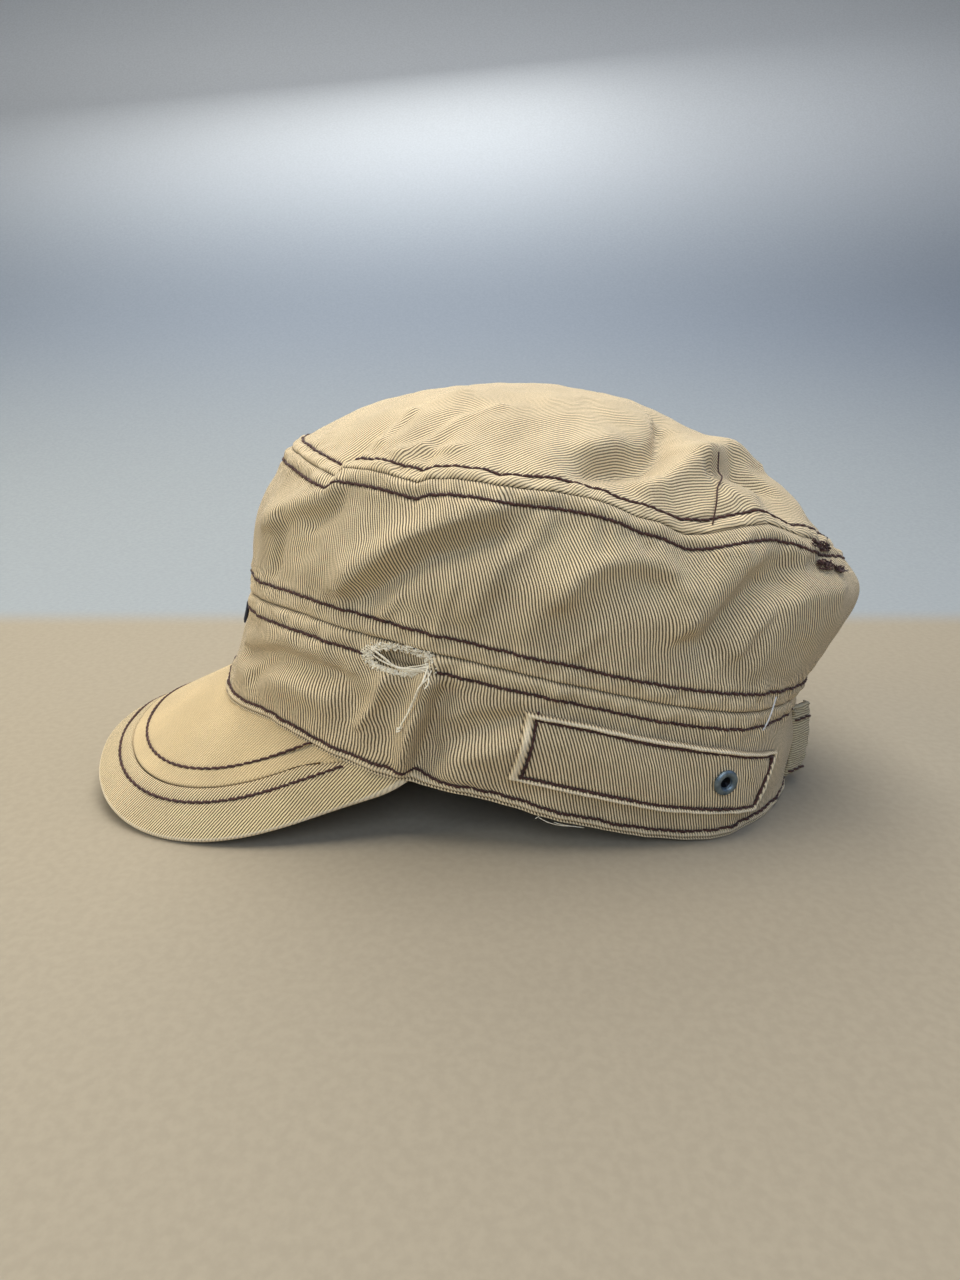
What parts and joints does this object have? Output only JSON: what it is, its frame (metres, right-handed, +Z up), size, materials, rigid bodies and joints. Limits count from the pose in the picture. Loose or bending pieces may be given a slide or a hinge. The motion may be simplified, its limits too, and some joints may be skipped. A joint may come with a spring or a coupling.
{
  "type": "cadet cap",
  "caption": "Soft twill cadet cap with a flat-topped crown, wide headband, curved peak with a sewn border, and a stitched side tab with a metal eyelet.",
  "frame": {"origin": "middle of the cap's box, on the surface it rests on", "axes": "+Z up out of the crown, -Y out of the peak's tip, +X to the wearer's left, where the side tab is"},
  "size_m": [0.172, 0.2958, 0.1493],
  "materials": {
    "khaki_twill": "washed cotton twill with coarse ribs",
    "inner_twill": "the same cotton twill on the inside, a little darker",
    "navy_cloth": "plain dark woven patch",
    "eyelet_metal": "dull blue-grey metal",
    "brown_thread": "thick dark brown topstitching thread",
    "cream_thread": "frayed cotton yarn and pale tacking thread"
  },
  "bodies": {
    "root": {"top_panel": "khaki_twill", "side_panel": "khaki_twill", "headband": "khaki_twill", "sweatband": "inner_twill", "peak_centre": "khaki_twill", "peak_border": "khaki_twill", "side_tab": "khaki_twill", "eyelet": "eyelet_metal", "back_loop": "khaki_twill", "front_badge": "navy_cloth"}
  },
  "joints": []
}
